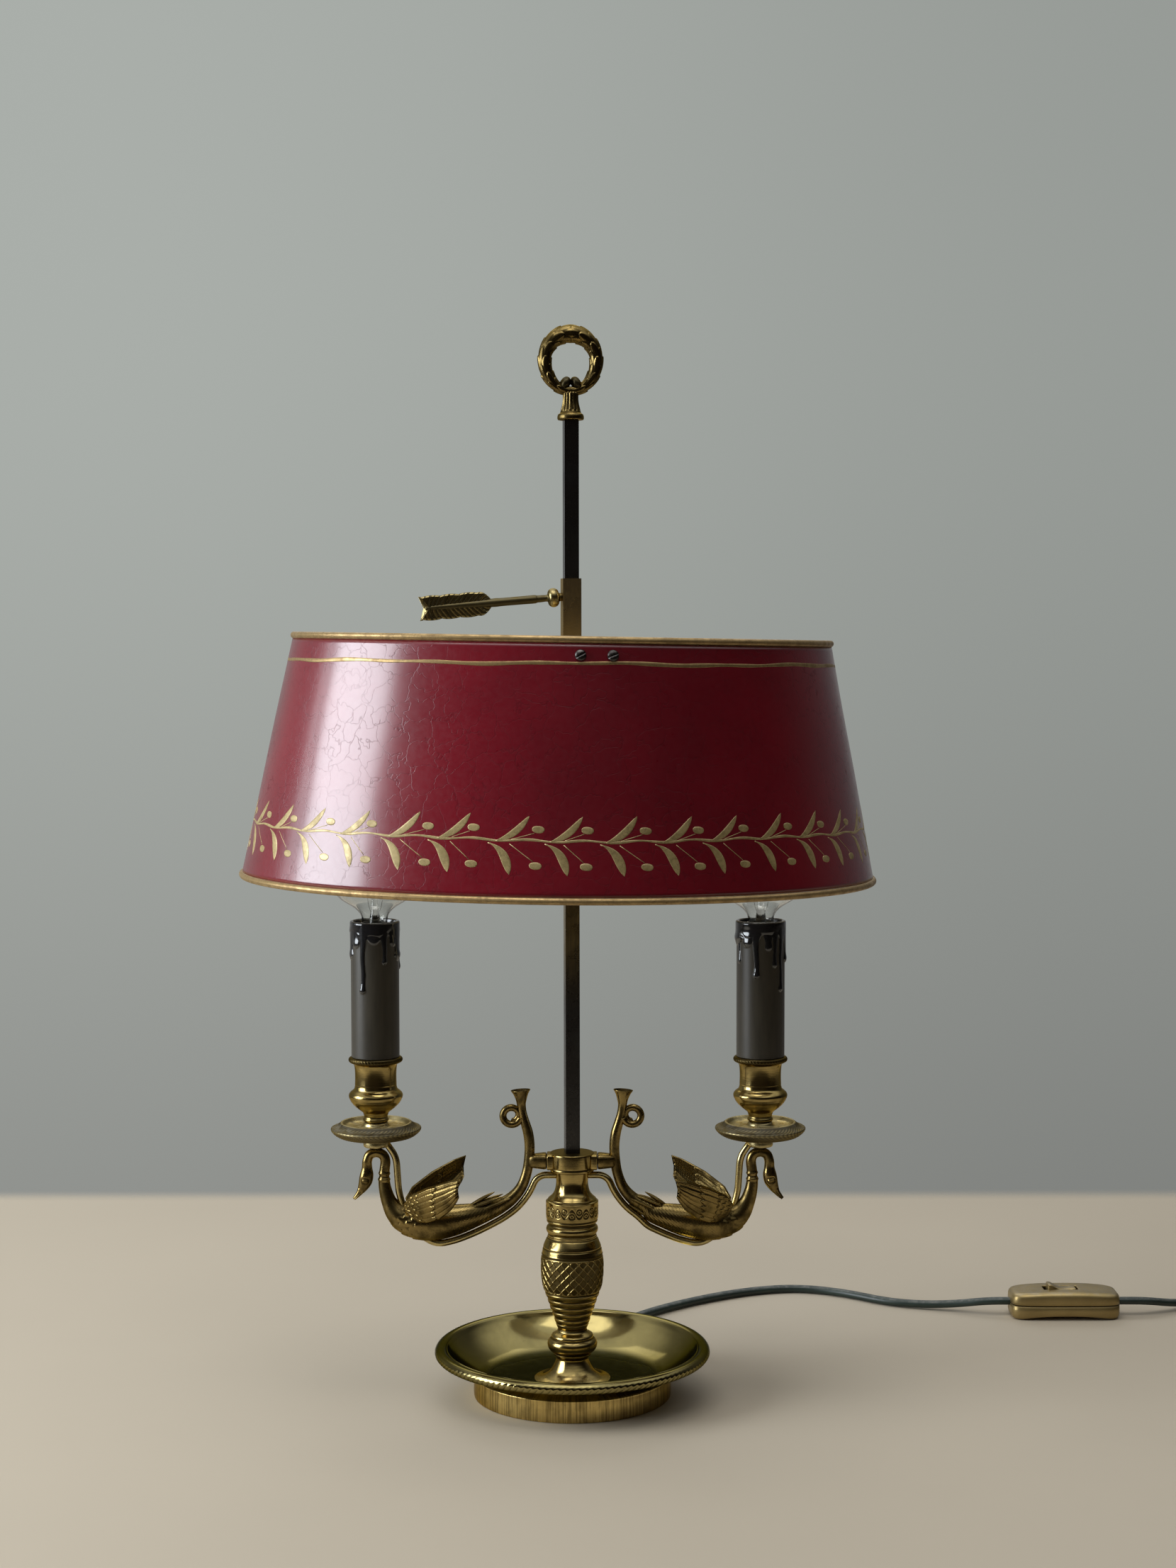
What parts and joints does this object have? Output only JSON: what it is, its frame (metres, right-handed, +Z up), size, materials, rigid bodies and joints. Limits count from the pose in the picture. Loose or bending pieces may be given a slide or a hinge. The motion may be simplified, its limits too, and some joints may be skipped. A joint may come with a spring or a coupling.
{
  "type": "bouillotte lamp",
  "caption": "Table lamp with a dished brass base, turned stem, swan arms with candle sockets, and an oval painted shade that slides on a square rod under an arrow clamp screw.",
  "frame": {"origin": "middle of the base's underside, on the stem's axis", "axes": "+Z up along the stem and rod; +X towards the right arm; the front of the lamp faces -Y and the cord leaves at the back"},
  "size_m": [0.5959, 0.3192, 0.5277],
  "materials": {
    "brass": "aged and polished, darker in the hollows",
    "rod_bronze": "patinated nearly black",
    "rod_brass": "satin",
    "tube_brass": "satin",
    "shade_paint": "gloss, crazed",
    "gold_edge": "worn gold paint",
    "dark_screw": "blackened",
    "steel": "zinc plated",
    "iron": "as cast",
    "felt": "felt",
    "candle_dark": "satin with glossy drips",
    "holder": "moulded",
    "cap_metal": "rolled thread",
    "clear_glass": "clear",
    "filament": "fine wire in a glass mount",
    "flex": "dark green flex",
    "cord_plastic": "gold-coloured moulding",
    "pin_metal": "nickel plated"
  },
  "bodies": {
    "stand": {"base_dish": "brass", "foot_ring": "brass", "stem_foot": "brass", "stem_vase": "brass", "stem_collar": "brass", "arm_hub": "brass", "finial_socket": "brass", "finial_ring": "brass", "ring_clasp": "brass", "arm_left": "brass", "arm_right": "brass", "wing_left_front": "brass", "wing_left_back": "brass", "wing_right_front": "brass", "wing_right_back": "brass", "drip_pan_left": "brass", "drip_pan_right": "brass", "candle_cup_left": "brass", "candle_cup_right": "brass", "upright_rod": "rod_bronze", "conduit_left_lower": "tube_brass", "conduit_left_upper": "tube_brass", "conduit_right_lower": "tube_brass", "conduit_right_upper": "tube_brass", "tie_rod": "steel", "tie_nut": "steel", "tie_washer": "steel", "arm_studs": "steel", "cup_nipples": "steel", "switch_screws": "steel", "switch_pin": "steel", "base_weight": "iron", "felt_pad": "felt", "candle_sleeve_left": "candle_dark", "candle_sleeve_right": "candle_dark", "lampholder_left": "holder", "lampholder_right": "holder", "bulb_cap_left": "cap_metal", "bulb_cap_right": "cap_metal", "bulb_glass_left": "clear_glass", "bulb_glass_right": "clear_glass", "filaments": "filament", "cord_lamp": "flex", "cord_tail": "flex", "cord_coil": "flex", "inner_lead": "flex", "switch_top": "cord_plastic", "switch_base": "cord_plastic", "plug_body": "cord_plastic", "cord_bush": "cord_plastic", "plug_pins": "pin_metal"},
    "shade_carriage": {"slide_collar": "rod_brass", "shade_bridge": "rod_brass", "shade_screws": "dark_screw", "shade_nuts": "dark_screw", "shade_shell": "shade_paint", "shade_top_rim": "gold_edge", "shade_bottom_rim": "gold_edge"},
    "arrow": {"arrow_key": "brass"},
    "rocker": {"switch_rocker": "cord_plastic"}
  },
  "joints": [
    {"name": "shade_slide", "type": "slide", "parent": "stand", "child": "shade_carriage", "axis": [0, 0, 1], "range_m": [-0.227, 0.0764]},
    {"name": "arrow_turn", "type": "hinge", "parent": "shade_carriage", "child": "arrow", "pos_m": [0, 0, 0.396], "axis": [-0.9855, -0.1473, -0.0837], "range_deg": [0, 180]},
    {"name": "rocker_tilt", "type": "hinge", "parent": "stand", "child": "rocker", "pos_m": [0.2695, 0.1405, 0.011], "axis": [0, -1, 0], "range_deg": [0, 16]}
  ]
}
